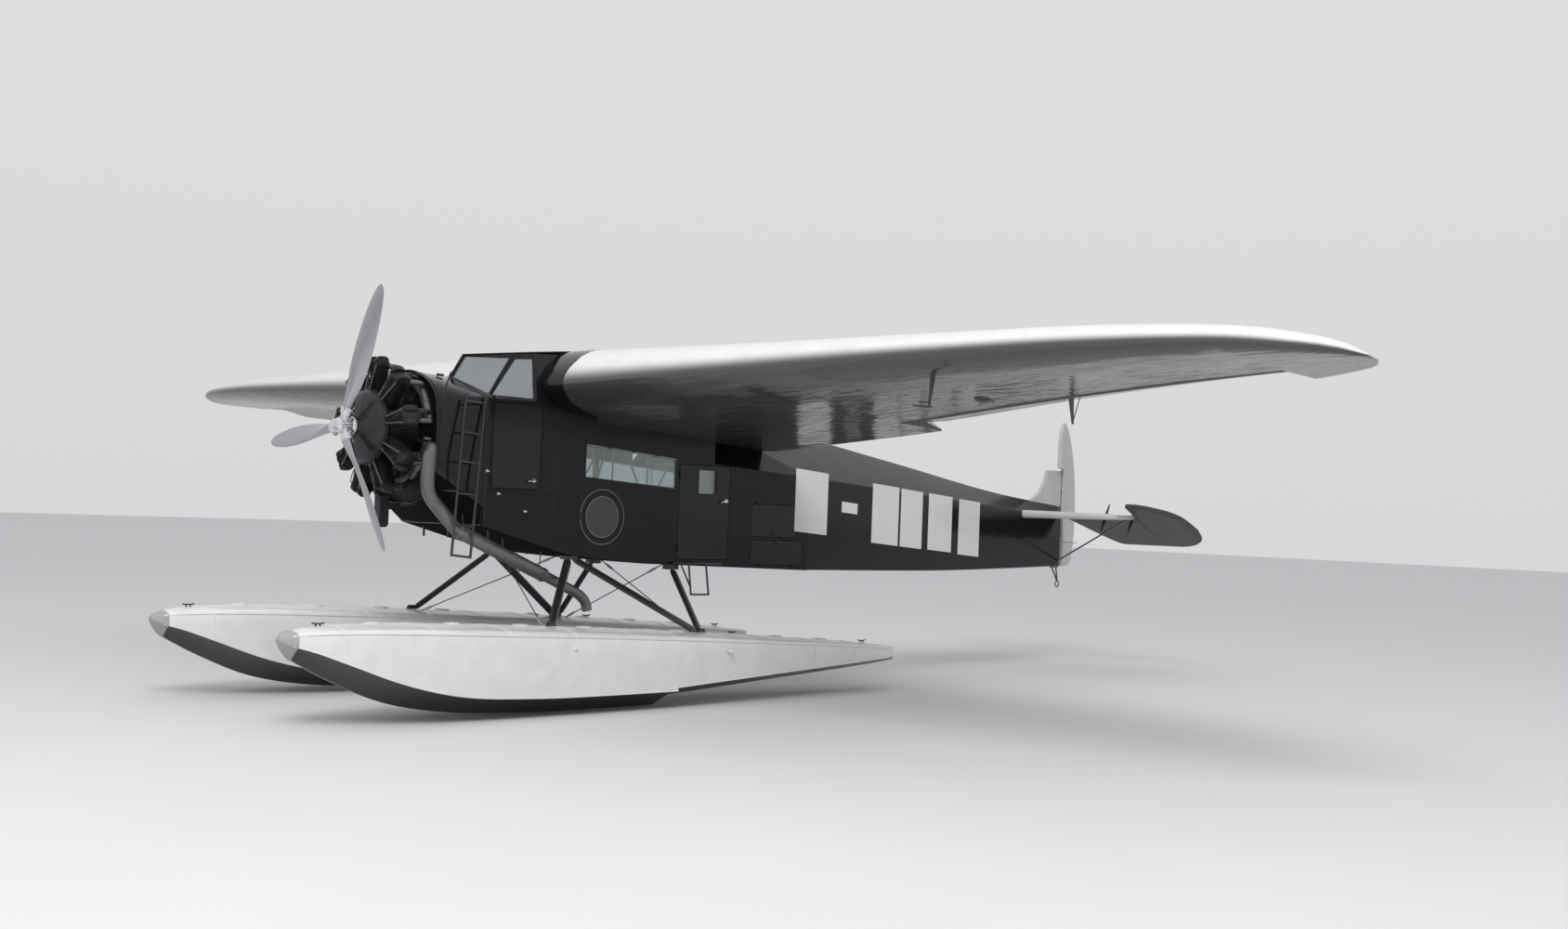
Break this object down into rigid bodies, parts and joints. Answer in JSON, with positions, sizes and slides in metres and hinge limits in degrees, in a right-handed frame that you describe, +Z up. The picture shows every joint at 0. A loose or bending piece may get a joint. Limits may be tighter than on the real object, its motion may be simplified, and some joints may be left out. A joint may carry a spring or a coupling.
{
  "type": "high-wing cabin floatplane with a radial engine",
  "caption": "High cantilever-wing cabin aircraft on twin floats, with an open radial engine, a turning propeller, hinged control surfaces and opening doors.",
  "frame": {"origin": "bottom centre of the whole part, on the ground plane that the float keels stand on", "axes": "+X to port along the span, +Y aft along the fuselage, +Z up"},
  "size_m": [15.4, 11.9788, 3.4863],
  "materials": {
    "black_gloss": "deep gloss black dope over cloth on a frame of tubes",
    "black_metal": "deep gloss black enamel on sheet metal",
    "wing_silver": "semi-gloss silver finish over plywood",
    "light_grey": "satin light grey dope over cloth",
    "dark_fabric": "doped dark fabric, satin",
    "strut_black": "satin black",
    "cabin_trim": "plain lining",
    "bare_panel": "dull bare sheet",
    "glass": "clear pane",
    "engine_black": "satin black",
    "seat_leather": "worn brown",
    "case_grey": "satin grey",
    "exhaust_steel": "heat-dulled steel",
    "polished": "polished",
    "float_white": "semi-gloss pale paint on sheet metal"
  },
  "bodies": {
    "airframe": {"cabin_wall_port": "black_gloss", "cabin_wall_starboard": "black_gloss", "cabin_floor": "black_gloss", "rear_deck": "black_gloss", "rear_fuselage": "black_gloss", "nose_shell": "black_metal", "cockpit_frame": "black_metal", "wing": "wing_silver", "tailplane": "light_grey", "fin": "light_grey", "stern_post": "strut_black", "tail_strut_port": "strut_black", "tail_strut_starboard": "strut_black", "mooring_fitting": "strut_black", "float_struts_port": "strut_black", "float_struts_starboard": "strut_black", "spreader_bar_front": "strut_black", "spreader_bar_rear": "strut_black", "stay_wires_front": "strut_black", "stay_wires_rear": "strut_black", "boarding_ladder": "strut_black", "cabin_step": "strut_black", "cabin_ceiling": "cabin_trim", "rear_bulkhead": "cabin_trim", "cabin_partition": "cabin_trim", "firewall": "bare_panel", "windscreen_port": "glass", "windscreen_starboard": "glass", "side_window_port": "glass", "side_window_starboard": "glass", "cabin_window_port": "glass", "cabin_window_starboard": "glass", "cabin_window_starboard_rear": "glass", "instrument_panel": "engine_black", "cylinder_row": "engine_black", "intake_scoop": "engine_black", "pilot_seat_port": "seat_leather", "pilot_seat_starboard": "seat_leather", "bench_seat_front": "seat_leather", "bench_seat_rear": "seat_leather", "crankcase": "case_grey", "exhaust_collector": "exhaust_steel", "exhaust_pipe": "exhaust_steel", "float_port": "float_white", "float_starboard": "float_white"},
    "propeller": {"propeller_hub": "polished", "propeller_blade_1": "polished", "propeller_blade_2": "polished", "propeller_blade_3": "polished"},
    "aileron_port": {"aileron_port": "wing_silver"},
    "aileron_starboard": {"aileron_starboard": "wing_silver"},
    "elevator": {"elevator": "dark_fabric"},
    "rudder": {"rudder": "light_grey"},
    "cockpit_door_port": {"cockpit_door_port": "black_metal"},
    "cockpit_door_starboard": {"cockpit_door_starboard": "black_metal"},
    "cabin_door": {"cabin_door": "black_metal", "cabin_door_window": "glass"},
    "baggage_door_upper": {"baggage_door_upper": "black_metal"},
    "baggage_door_lower": {"baggage_door_lower": "black_metal"}
  },
  "joints": [
    {"name": "propeller_spin", "type": "hinge", "parent": "airframe", "child": "propeller", "pos_m": [0, -4.9144, 2.335], "axis": [0, 1, 0], "continuous": true},
    {"name": "aileron_port_hinge", "type": "hinge", "parent": "airframe", "child": "aileron_port", "pos_m": [3.05, -1.28079, 2.6503], "axis": [0.9855, -0.1593, 0.0585], "range_deg": [-30, 10]},
    {"name": "aileron_starboard_hinge", "type": "hinge", "parent": "airframe", "child": "aileron_starboard", "pos_m": [-3.05, -1.28079, 2.6503], "axis": [0.9855, 0.1593, -0.0585], "range_deg": [-10, 30]},
    {"name": "elevator_hinge", "type": "hinge", "parent": "airframe", "child": "elevator", "pos_m": [0, 5.0156, 1.843], "axis": [1, 0, 0], "range_deg": [0, 52]},
    {"name": "rudder_hinge", "type": "hinge", "parent": "airframe", "child": "rudder", "pos_m": [0, 5.0956, 1.835], "axis": [0, 0, 1], "range_deg": [-54, 0]},
    {"name": "cockpit_door_port_hinge", "type": "hinge", "parent": "airframe", "child": "cockpit_door_port", "pos_m": [0.648, -3.8574, 2.235], "axis": [0, 0, -1], "range_deg": [0, 95]},
    {"name": "cockpit_door_starboard_hinge", "type": "hinge", "parent": "airframe", "child": "cockpit_door_starboard", "pos_m": [-0.648, -3.8574, 2.235], "axis": [0, 0, 1], "range_deg": [0, 95]},
    {"name": "cabin_door_hinge", "type": "hinge", "parent": "airframe", "child": "cabin_door", "pos_m": [0.648, -1.7464, 1.735], "axis": [0, 0, -1], "range_deg": [0, 100]},
    {"name": "baggage_door_upper_hinge", "type": "hinge", "parent": "airframe", "child": "baggage_door_upper", "pos_m": [0.648, -0.4944, 1.822], "axis": [0, -1, 0], "range_deg": [0, 100]},
    {"name": "baggage_door_lower_hinge", "type": "hinge", "parent": "airframe", "child": "baggage_door_lower", "pos_m": [0.648, -0.4544, 1.224], "axis": [0, 1, 0], "range_deg": [0, 100]}
  ],
  "couplings": [
    {"joint": "aileron_starboard_hinge", "follows": "aileron_port_hinge", "ratio": -1}
  ]
}
